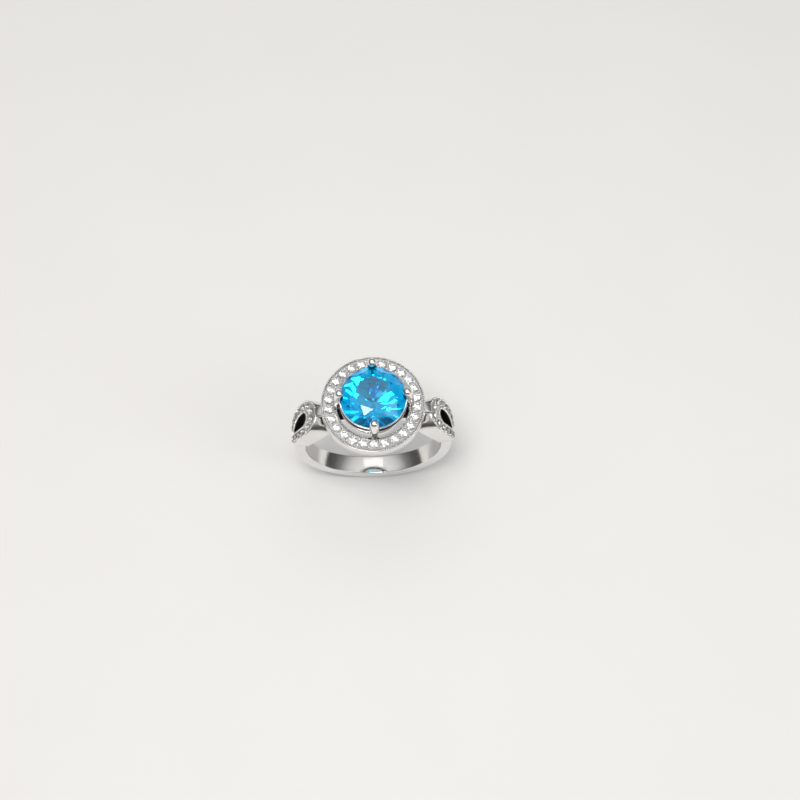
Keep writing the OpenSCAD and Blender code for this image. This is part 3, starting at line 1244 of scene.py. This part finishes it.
@dataclass
class ShoulderLoop:
    """An open pear-shaped loop set with small stones."""

    plan: LoopPlan
    side: Side
    stations: int = 56
    end_stations: int = 6
    brow: float = 0.06 * MM
    foot: float = 0.05 * MM
    track: float = 0.26 * MM
    brow_turns: tuple[int, ...] = (0, 30, 60, 90)

    def outline_pairs(self) -> list[tuple[Flat, Flat]]:
        """Matching points of the outer and the inner outline, once round the loop.

        Returns:
            Pairs of an outer and an inner point.
        """
        plan = self.plan
        half_w = plan.line.width / 2
        half = []
        for i in range(self.stations + 1):
            share = i / self.stations
            half.append(
                (plan.spot(0, plan.round_r, half_w, share), plan.spot(plan.shift, plan.opening_r, 0, share))
            )
        tip = (half[-1][1][0], 0.0)
        end = [
            ((plan.length / 2, half_w * (1 - 2 * j / self.end_stations)), tip)
            for j in range(1, self.end_stations)
        ]
        back = [((o[0], -o[1]), (i[0], -i[1])) for o, i in reversed(half[1:])]
        return half + end + back

    def cross_section(self, outer: Flat, inner: Flat) -> list[tuple[float, float, float]]:
        """The ribbon's closed section between two outline points, with eased corners.

        Args:
            outer: A point of the outer outline.
            inner: The matching point of the inner outline.

        Returns:
            The section's points on the plan, with their heights.
        """
        plan = self.plan
        width = math.dist(outer, inner)
        brow, track = min(self.brow, width / 6), min(self.track, width / 3)
        arc = [math.radians(a) for a in self.brow_turns]
        rows: list[tuple[float, str, float]] = [(0, "floor", self.foot), (0, "half", 0)]
        rows += [(brow * (1 - math.cos(a)), "top", brow * (math.sin(a) - 1)) for a in arc]
        rows += [(track + (width - 2 * track) * j / 4, "top", 0) for j in range(5)]
        rows += [(width - brow * (1 - math.cos(a)), "top", brow * (math.sin(a) - 1)) for a in reversed(arc)]
        rows += [(width, "half", 0), (width, "floor", self.foot)]
        rows += [(width - self.foot, "floor", 0), (width / 2, "floor", 0), (self.foot, "floor", 0)]
        points = []
        for along, level, lift in rows:
            x, y = (o + (i - o) * along / width for o, i in zip(outer, inner))
            top, floor = plan.top(x, y), plan.floor(x)
            height = {"floor": floor, "half": (top + floor) / 2, "top": top}[level] + lift
            points.append((x, y, height))
        return points

    def shape(self) -> bpy.types.Object:
        """Makes the ribbon from a torus whose rings are laid on the loop's sections.

        Returns:
            The ribbon with its stones' seats drilled.
        """
        plan = self.plan
        sections = [self.cross_section(outer, inner) for outer, inner in self.outline_pairs()]
        ribbon = primitive(
            "torus",
            f"{self.side.word}_loop_ribbon",
            major_segments=len(sections),
            minor_segments=len(sections[0]),
            major_radius=plan.round_r,
            minor_radius=plan.ribbon / 2,
        )
        laid = [plan.world(self.side, *point) for ring in sections for point in ring]
        for vertex, spot in zip(ribbon.data.vertices, laid):
            vertex.co = spot
        count = len(sections[0])
        columns = {f.index: {v % count for v in f.vertices} for f in ribbon.data.polygons}
        # Painted shade on the ribbon: near black on the tracks under the bead rows and in the opening's
        # wall, mid grey on the face between them
        stretches = (
            (PAINTED_DEEP_SHADE_METAL, Column.OUTER_BROW, Column.OUTER_TRACK),
            (PAINTED_DEEP_SHADE_METAL, Column.INNER_TRACK, Column.INNER_BROW),
            (PAINTED_HALF_SHADE_METAL, Column.OUTER_TRACK, Column.INNER_TRACK),
            (SHADED_METAL, Column.WALL_TOP, Column.WALL_LOW),
        )
        for finish, first, last in stretches:
            wanted = set(range(first, last + 1))
            paint_shade_on_faces(ribbon, finish, lambda f, wanted=wanted: columns[f.index] <= wanted)
        close_up(ribbon)
        StoneSeat(plan.stone_d).drill(ribbon, plan.stones(self.side))
        return ribbon

    def build(self) -> None:
        """Makes and dresses the ribbon, its beads and its stones."""
        word = self.side.word
        dress(self.shape(), CAST_METAL, [f"{word}_shoulder_loop"])
        rows = {
            "grains": (self.plan.grain_d, self.plan.grains(self.side)),
            "outer_milgrain": (self.plan.bead_d, self.plan.milgrain(self.side, True)),
            "inner_milgrain": (self.plan.bead_d, self.plan.milgrain(self.side, False)),
        }
        for kind, (diameter, places) in rows.items():
            row = BeadPunch(diameter).strike(f"{word}_loop_{kind}_row", places)
            dress(row, BRIGHT_METAL, [f"{word}_loop_{kind}"], smooth_deg=ROUND_DEG)
        # The shoulder stones take a greyer finish that is painted shade
        dress_node(f"{word}_loop_stones", PAINTED_SHADE_SHOULDER_STONE)


# ---- Arms and necks under the head ----


@dataclass
class Carriers:
    """The arms that carry the head and the necks that tie it to the loops."""

    line: BandLine
    side: Side
    arm_t: float = 0.95 * MM
    arm_w: float = 2.4 * MM
    arm_edge: float = 0.14 * MM
    neck_w: float = 1.1 * MM
    neck_edge: float = 0.12 * MM
    neck_fall: float = 0.35
    sharp: float = math.radians(57)

    def arm(self) -> bpy.types.Object:
        """A curved strip over the finger, under the head's edge.

        Returns:
            The arm.
        """
        low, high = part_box(f"{self.side.word}_arm")
        inner, outer = sorted((abs(low.x), abs(high.x)))
        bore_r = self.line.bore_r
        strip = band_ring(f"{self.side.word}_arm_strip", bore_r, bore_r + self.arm_t, self.arm_w)
        with editing(strip, "EDGE"):
            pick(strip, "edges", lambda e: all(near(abs(v.co.y), self.arm_w / 2) for v in e.verts))
            pick(strip, "edges", lambda e: e.calc_face_angle(0) > self.sharp)
            bpy.ops.mesh.bevel(offset=self.arm_edge, segments=4)
        way = self.side.value
        trim(strip, Vector((0, 0, 0)), Vector((0, 0, -1)), lambda f: True)
        trim(strip, Vector((inner * way, 0, 0)), Vector((-way, 0, 0)), lambda f: True)
        trim(strip, Vector((outer * way, 0, 0)), Vector((way, 0, 0)), lambda f: True)
        close_up(strip)
        return strip

    def neck(self) -> bpy.types.Object:
        """The short bridge between the halo's skirt and the loop.

        Returns:
            The neck.
        """
        low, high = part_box(f"{self.side.word}_neck")
        inner, outer = sorted((abs(low.x), abs(high.x)))
        skirt_low, skirt_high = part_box("halo_skirt")
        root = low.z
        corners = [
            (inner, root),
            (outer, root),
            (outer, high.z - (skirt_low.z - root) * self.neck_fall),
            (skirt_high.x, skirt_low.z),
            (inner, high.z),
        ]
        bridge = section(f"{self.side.word}_neck_bridge", corners)
        with editing(bridge, "FACE"):
            bpy.ops.mesh.select_all(action="SELECT")
            bpy.ops.transform.translate(value=(0, -self.neck_w / 2, 0))
            bpy.ops.mesh.extrude_region_move(TRANSFORM_OT_translate={"value": (0, self.neck_w, 0)})
        if self.side is Side.LEFT:
            bridge.scale.x = -1
            settle(bridge)
        close_up(bridge)
        soften(bridge, self.neck_edge)
        return bridge

    def build(self) -> None:
        """Makes and dresses the arm and the neck of one side."""
        dress(self.arm(), CAST_METAL, [f"{self.side.word}_arm"])
        dress(self.neck(), CAST_METAL, [f"{self.side.word}_neck"])


# ---- Halo ----


@dataclass
class Halo:
    """The stone-set plate round the centre stone, with its skirt and beads."""

    stones: int = 26
    stone_d: float = 1.1 * MM
    bead_d: float = 0.22 * MM
    bead_pitch: float = 0.255 * MM
    bead_edge: float = 0.13 * MM
    grain_d: float = 0.34 * MM
    in_r: float = 4.33 * MM
    skirt_w: float = 0.6 * MM
    claw_gap: float = 0.6 * MM
    track: float = 0.26 * MM
    brow: float = 0.07 * MM
    foot: float = 0.06 * MM
    steps: int = 156

    def __post_init__(self) -> None:
        """Reads the plate's and the skirt's levels from the frame."""
        low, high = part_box("halo_plate")
        self.low, self.top, self.out_r = low.z, high.z, high.x
        self.skirt_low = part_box("halo_skirt")[0].z

    @property
    def row_r(self) -> float:
        """Radius of the ring that the stones stand on."""
        return (self.in_r + self.out_r) / 2

    def around(self, turn: float, r: float) -> Matrix:
        """A place on the plate's top, at an angle from +X and a radius."""
        spot = Matrix.Rotation(turn, 4, "Z") @ Matrix.Translation((r, 0, 0))
        return Matrix.Translation((0, 0, self.top)) @ spot

    def stone_turn(self, i: float) -> float:
        """Angle of stone i, counted from 0 at +Y."""
        return math.pi / 2 + i * 2 * math.pi / self.stones

    def plate(self) -> bpy.types.Object:
        """The plate with a seat drilled for each stone.

        Returns:
            The plate.
        """
        corners = [(r, self.low) for r in (self.in_r, self.out_r)]
        corners += [(r, self.top) for r in (self.out_r, self.in_r)]
        tracks = [(self.out_r - self.track, self.top), (self.in_r + self.track, self.top)]
        outline = section("halo_setting", corners[:3] + tracks + corners[3:])
        for corner, rounding in zip(corners, (self.foot, self.foot, self.brow, self.brow)):
            round_corner(outline, corner, rounding)
        turned(outline, self.steps)
        # Painted shade on the plate: mid grey on its top, near black on the tracks under the bead rows, on
        # its underside and on its inner wall
        paint_shade_on_faces(outline, PAINTED_HALF_SHADE_METAL, lambda f: f.normal.z > LEVEL)
        paint_shade_on_faces(outline, PAINTED_DEEP_SHADE_METAL, self.in_track)
        paint_shade_on_faces(outline, SHADED_METAL, lambda f: f.normal.z < -FACING or self.faces_in(f))
        seats = [self.around(self.stone_turn(i), self.row_r) for i in range(self.stones)]
        StoneSeat(self.stone_d).drill(outline, seats)
        return outline

    def in_track(self, face: bmesh.types.BMFace) -> bool:
        """Whether a face of the plate lies under a row of beads.

        Args:
            face: The face.

        Returns:
            True if it does.
        """
        spot = face.calc_center_median()
        off = abs(math.hypot(spot.x, spot.y) - self.row_r)
        return face.normal.z > LEVEL and off > (self.out_r - self.in_r) / 2 - self.track

    def faces_in(self, face: bmesh.types.BMFace) -> bool:
        """Whether a face of the plate or the skirt looks at the centre stone's axis."""
        return face.normal.dot(face.calc_center_median() * Vector((1, 1, 0))) < -FACING * self.in_r

    def bead_turns(self, r: float, skip: float = 0) -> list[Matrix]:
        """Places of a bead row, which may be left free where the claws stand.

        Args:
            r: The row's radius.
            skip: Half the stretch that is left free at each claw, or 0 for a whole row.

        Returns:
            The beads' places.
        """
        count = int(2 * math.pi * r / self.bead_pitch)
        quarter = math.pi / 2
        places = []
        for i in range(count):
            turn = (i + 0.5) * 2 * math.pi / count
            off = abs((turn + quarter / 2) % quarter - quarter / 2)
            if not skip or r * math.sin(off) > skip:
                places.append(self.around(turn, r))
        return places

    def build(self) -> None:
        """Makes and dresses the plate, the skirt, the beads and the stones."""
        dress(self.plate(), CAST_METAL, ["halo_plate"])
        skirt = rounded_ring(
            "halo_skirt_wall", self.out_r - self.skirt_w, self.out_r, self.skirt_low, self.low, self.foot
        )
        paint_shade_on_faces(skirt, SHADED_METAL, self.faces_in)
        dress(skirt, CAST_METAL, ["halo_skirt"])
        grains = [
            self.around(self.stone_turn(i + 0.5), self.row_r + way * (self.stone_d - self.grain_d) / 2)
            for i in range(self.stones)
            for way in (1, -1)
        ]
        outer, inner = self.out_r - self.bead_edge, self.in_r + self.bead_edge
        rows = {
            "halo_outer_milgrain": (self.bead_d, self.bead_turns(outer)),
            "halo_inner_milgrain": (self.bead_d, self.bead_turns(inner, self.claw_gap)),
            "halo_grains": (self.grain_d, grains),
        }
        for node, (diameter, places) in rows.items():
            row = BeadPunch(diameter).strike(f"{node}_row", places)
            dress(row, BRIGHT_METAL, [node], smooth_deg=ROUND_DEG)
        for i in range(1, self.stones + 1):
            dress_node(f"halo_stone_{i:02d}", WHITE_STONE)


# ---- Basket ----


@dataclass(frozen=True)
class StoneBody:
    """The round envelope of the centre stone, which the metal is cut back to."""

    radius: float = 3.9 * MM
    table_r: float = 2.15 * MM
    crown: float = 1.25 * MM
    girdle_low: float = 11.68 * MM
    girdle_top: float = 11.92 * MM
    pavilion: float = 3.6 * MM
    sides: int = 128

    def tool(self) -> bpy.types.Object:
        """A cutting tool of that shape: a drum drawn out to the table and to the point.

        Returns:
            The tool.
        """
        tool = primitive(
            "cylinder",
            "stone_envelope",
            vertices=self.sides,
            radius=self.radius,
            depth=self.girdle_top - self.girdle_low,
            location=(0, 0, (self.girdle_top + self.girdle_low) / 2),
        )
        with editing(tool, "FACE"):
            pick(tool, "faces", lambda f: f.normal.z > FACING)
            bpy.ops.mesh.extrude_region_move(TRANSFORM_OT_translate={"value": (0, 0, self.crown)})
            share = self.table_r / self.radius
            bpy.ops.transform.resize(value=(share, share, 1))
            pick(tool, "faces", lambda f: f.normal.z < -FACING)
            bpy.ops.mesh.extrude_region_move(TRANSFORM_OT_translate={"value": (0, 0, -self.pavilion)})
            bpy.ops.mesh.merge(type="CENTER")
        return tool


@dataclass
class Basket:
    """The claws, the collet and the base rail that hold the centre stone."""

    stone: StoneBody = field(default_factory=StoneBody)
    collet_r: float = 3.98 * MM
    collet_wall: float = 0.5 * MM
    groove: float = 0.14 * MM
    lip: float = 0.28 * MM
    rail_in: float = 2.65 * MM
    rail_out: float = 3.45 * MM
    foot_ring: float = 4.35 * MM
    foot_z: float = 9.65 * MM
    lean_run: float = 0.39 * MM
    claw_top: float = 13.0 * MM
    girdle_mid: float = 11.8 * MM
    foot_r: float = 0.3 * MM
    belly_r: float = 0.6 * MM
    tip_r: float = 0.54 * MM
    strut_r: float = 0.25 * MM
    sides: int = 32
    strut_sides: int = 28
    ball_steps: int = 7
    aside: float = 20 * MM
    collet_edge: float = 0.05 * MM
    rim_edge: float = 0.03 * MM
    rail_edge: float = 0.12 * MM
    rail_steps: int = 96
    front_cosine: float = 0.8
    back_cosine: float = -0.3

    def claw_outline(self) -> list[Flat]:
        """Radius and height up a claw: foot, belly and tip, joined by touching lines.

        Returns:
            The outline, from the foot's pole to the tip's.
        """
        climb = self.claw_top - self.foot_z
        length = math.hypot(self.lean_run, climb)
        belly_h = (self.girdle_mid - self.foot_z) * length / climb
        swell = math.asin((self.belly_r - self.foot_r) / belly_h)
        taper = math.asin((self.belly_r - self.tip_r) / (length - belly_h))
        balls = [
            (self.foot_r, 0.0, -math.pi / 2, -swell),
            (self.belly_r, belly_h, -swell, taper),
            (self.tip_r, length, taper, math.pi / 2),
        ]
        shares = [k / self.ball_steps for k in range(self.ball_steps + 1)]
        return [
            (r * math.cos(a), z + r * math.sin(a))
            for r, z, start, end in balls
            for a in (start + (end - start) * share for share in shares)
        ]

    def claw(self) -> bpy.types.Object:
        """One claw, drawn from a ball, notched to the stone and joined to its strut.

        Returns:
            The claw on the +X side.
        """
        outline = self.claw_outline()
        rings = len(outline) - 1
        claw = primitive("uv_sphere", "first_claw", segments=self.sides, ring_count=rings, radius=MM)
        levels = [-math.cos(math.pi * k / rings) * MM for k in range(rings + 1)]
        with editing(claw):
            for level, (r, z) in zip(levels, outline):
                if pick(claw, "verts", lambda v, level=level: near(v.co.z, level, MICRON / 10)) > 1:
                    share = r / math.sqrt(MM**2 - level**2)
                    bpy.ops.transform.resize(value=(share, share, 1), center_override=(0, 0, 0))
                # Set aside below, so that no other ring is at the same height
                bpy.ops.transform.translate(value=(0, 0, z - level - self.aside))
        climb = self.claw_top - self.foot_z
        claw.matrix_world = (
            Matrix.Translation((self.foot_ring, 0, self.foot_z))
            @ Matrix.Rotation(-math.atan2(self.lean_run, climb), 4, "Y")
            @ Matrix.Translation((0, 0, self.aside))
        )
        settle(claw)
        close_up(claw)
        combine(claw, self.stone.tool())
        combine(claw, self.strut(), "UNION")
        # Painted shade and painted dark reflection: near black on the claw's lower front and on its faces
        # under the tip
        paint_shade_on_faces(claw, PAINTED_DEEP_SHADE_METAL, self.lies_in_shade)
        return claw

    def lies_in_shade(self, face: bmesh.types.BMFace) -> bool:
        """Whether a face of the first claw lies low in front, or under its tip on the stone's side.

        Args:
            face: The face.

        Returns:
            True if it does.
        """
        height = face.calc_center_median().z
        front = face.normal.x > self.front_cosine and height < self.girdle_mid + self.tip_r
        back = face.normal.x < self.back_cosine and height < self.claw_top - self.tip_r / 2
        return front or back

    def strut(self) -> bpy.types.Object:
        """The bar from the base rail up to a claw's foot.

        Returns:
            The bar on the +X side.
        """
        rail_low, rail_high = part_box("base_rail")
        rail_r, rail_z = (self.rail_in + self.rail_out) / 2, (rail_low.z + rail_high.z) / 2
        run, climb = self.foot_ring - rail_r, self.foot_z - rail_z
        return primitive(
            "cylinder",
            "claw_strut",
            vertices=self.strut_sides,
            radius=self.strut_r,
            depth=math.hypot(run, climb),
            location=(rail_r + run / 2, 0, rail_z + climb / 2),
            rotation=(0, math.atan2(run, climb), 0),
        )

    def collet(self) -> bpy.types.Object:
        """The grooved ring under the stone's edge.

        Returns:
            The collet.
        """
        low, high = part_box("collet")
        inner = self.collet_r - self.collet_wall
        slope = self.stone.pavilion / self.stone.radius
        corners = [
            (inner, low.z),
            (self.collet_r, low.z),
            (self.collet_r, low.z + self.lip),
            (self.collet_r - self.groove, low.z + self.lip),
            (self.collet_r - self.groove, high.z - self.lip),
            (self.collet_r, high.z - self.lip),
            (self.collet_r, high.z),
            (self.stone.radius, high.z),
            (inner, high.z - (self.stone.radius - inner) * slope),
        ]
        outline = section("grooved_collet", corners)
        for i in (0, 1, 2, 5):
            round_corner(outline, corners[i], self.collet_edge, 3)
        round_corner(outline, corners[6], self.rim_edge, 3)
        turned(outline)
        floor, ceiling = low.z + self.lip - MERGE, high.z - self.lip + MERGE
        paint_shade_on_faces(
            outline,
            SHADED_METAL,
            lambda f: self.in_groove(f) and floor < f.calc_center_median().z < ceiling,
        )
        return outline

    def in_groove(self, face: bmesh.types.BMFace) -> bool:
        """Whether a face of the collet lies in its groove, by its distance from the axis.

        Args:
            face: The face.

        Returns:
            True if it does.
        """
        spot = face.calc_center_median()
        past = self.groove / 5
        return self.groove + past > self.collet_r - math.hypot(spot.x, spot.y) > past

    def build(self) -> None:
        """Makes and dresses the claws, the collet and the base rail."""
        first = self.claw()
        for i, quarter in enumerate(("east", "north", "west", "south")):
            claw = copied(first, f"{quarter}_claw")
            claw.matrix_world = Matrix.Rotation(i * math.pi / 2, 4, "Z")
            dress(claw, BRIGHT_METAL, [f"prong_{quarter}"], smooth_deg=EASED_DEG)
        discard(first)
        dress(self.collet(), BRIGHT_METAL, ["collet"])
        low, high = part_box("base_rail")
        rail = rounded_ring(
            "basket_rail", self.rail_in, self.rail_out, low.z, high.z, self.rail_edge, self.rail_steps
        )
        dress(rail, CAST_METAL, ["base_rail"])
        dress_node("centre_stone", BLUE_STONE)


# ---- Studio ----


@dataclass(frozen=True)
class Softbox:
    """A soft area light that looks at the head."""

    name: str
    place: tuple[float, float, float]
    size: Flat
    watts: float
    tone: Tone = (1.0, 1.0, 1.0)

    def light(self, target: Vector) -> None:
        """Hangs the light.

        Args:
            target: What it looks at.
        """
        lamp = bpy.data.lights.new(self.name, "AREA")
        lamp.shape = "RECTANGLE"
        lamp.size, lamp.size_y = self.size
        lamp.energy = self.watts
        lamp.color = self.tone
        holder = bpy.data.objects.new(self.name, lamp)
        bpy.context.scene.collection.objects.link(holder)
        holder.location = self.place
        holder.rotation_euler = (target - Vector(self.place)).to_track_quat("-Z", "Y").to_euler()


@dataclass
class Studio:
    """A plain pale floor, soft light and the camera."""

    azimuth: float = -1.81
    elevation: float = 64.98
    distance: float = 200 * MM
    lens: float = 76.6
    pan: float = 0.905
    tilt: float = 0.1245
    sight: Flat = (0.01, 10.0)
    floor_size: float = 1.2
    floor_tone: Tone = (0.86, 0.855, 0.845)
    paper_scale: float = 60.0
    paper_deep: float = 0.97
    paper_roughness: float = 0.85
    sky_strength: float = 0.85
    sky_tone: Tone = (1.0, 0.985, 0.96)
    # Height over the horizon, 0 to 1, and brightness
    sky_stops: tuple[Flat, ...] = (
        (0.0, 0.35),
        (0.06, 0.08),
        (0.3, 0.12),
        (0.5, 0.28),
        (0.7, 0.75),
        (0.88, 1.0),
        (1.0, 0.8),
    )
    softboxes: tuple[Softbox, ...] = (
        Softbox("key_softbox", (-0.04, -0.06, 0.3), (0.11, 0.11), 0.45, (1.0, 0.98, 0.95)),
        Softbox("fill_softbox", (0.2, -0.1, 0.16), (0.1, 0.16), 0.08, (0.95, 0.98, 1.0)),
        Softbox("mirror_softbox", (0.0, 0.13, 0.29), (0.17, 0.13), 0.03),
    )

    def floor(self) -> None:
        """Lays the floor under the ring's lowest point."""
        deselect_all()
        bpy.ops.mesh.primitive_plane_add(size=self.floor_size, location=(0, 0, CAD_LOW.z))
        sheet = bpy.context.object
        sheet.name = "studio_floor"
        material, shader = fresh_material("pale_paper")
        tree = material.node_tree
        grain = add_node(tree, "TexNoise", {"Vector": own_place(tree), "Scale": self.paper_scale})
        deep = (*(self.paper_deep * c for c in self.floor_tone), 1.0)
        tone = mixed(tree, grain.outputs["Fac"], (*self.floor_tone, 1.0), deep)
        feed(tree, shader.inputs["Base Color"], tone)
        feed(tree, shader.inputs["Roughness"], self.paper_roughness)
        sheet.data.materials.append(material)

    def sky(self) -> None:
        """A room round the ring: bright overhead, darker towards the horizon."""
        world = bpy.data.worlds.new("soft_room")
        bpy.context.scene.world = world
        world.use_nodes = True
        tree = world.node_tree
        tree.nodes.clear()
        split = add_node(tree, "SeparateXYZ", {0: add_node(tree, "TexCoord").outputs["Generated"]})
        ramp = add_node(tree, "ValToRGB", {0: split.outputs["Z"]})
        shades = ramp.color_ramp.elements
        while len(shades) < len(self.sky_stops):
            shades.new(0.5)
        for shade, (where, level) in zip(shades, self.sky_stops):
            shade.position = where
            shade.color = (*(level * c for c in self.sky_tone), 1.0)
        glow = add_node(tree, "Background", {"Color": ramp.outputs["Color"], "Strength": self.sky_strength})
        add_node(tree, "OutputWorld", {"Surface": glow.outputs["Background"]})

    def camera(self, target: Vector) -> None:
        """Stands the camera over the head.

        Args:
            target: The middle of the halo's top.
        """
        a, e = math.radians(self.azimuth), math.radians(self.elevation)
        back = Vector((math.sin(a) * math.cos(e), -math.cos(a) * math.cos(e), math.sin(e)))
        right = Vector((math.cos(a), math.sin(a), 0))
        turn = Matrix((right, back.cross(right), back)).transposed()
        aim = Vector((-math.tan(math.radians(self.pan)), -math.tan(math.radians(self.tilt)), -1))
        turn = turn @ aim.rotation_difference(Vector((0, 0, -1))).to_matrix()
        data = bpy.data.cameras.new("studio_camera")
        data.lens = self.lens
        data.clip_start, data.clip_end = self.sight
        camera = bpy.data.objects.new("studio_camera", data)
        bpy.context.scene.collection.objects.link(camera)
        camera.matrix_world = Matrix.Translation(target + back * self.distance) @ turn.to_4x4()
        bpy.context.scene.camera = camera

    def build(self) -> None:
        """Sets up the floor, the light and the camera."""
        target = Vector((0, 0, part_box("halo_plate")[1].z))
        self.floor()
        self.sky()
        for softbox in self.softboxes:
            softbox.light(target)
        self.camera(target)
        bpy.context.scene.view_settings.view_transform = "Standard"


def main() -> None:
    """Builds the ring's sub-assemblies in order, then the studio."""
    logging.basicConfig(level=logging.INFO, format="%(name)s: %(message)s")
    line = BandLine()
    halo_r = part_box("halo_plate")[1].x
    plan = LoopPlan(line, start_x=halo_r + 0.6 * MM)
    Shank(line, plan).build()
    for side in Side:
        ShoulderLoop(plan, side).build()
        Carriers(line, side).build()
    Halo().build()
    Basket().build()
    Studio().build()


if __name__ == "__main__":
    main()
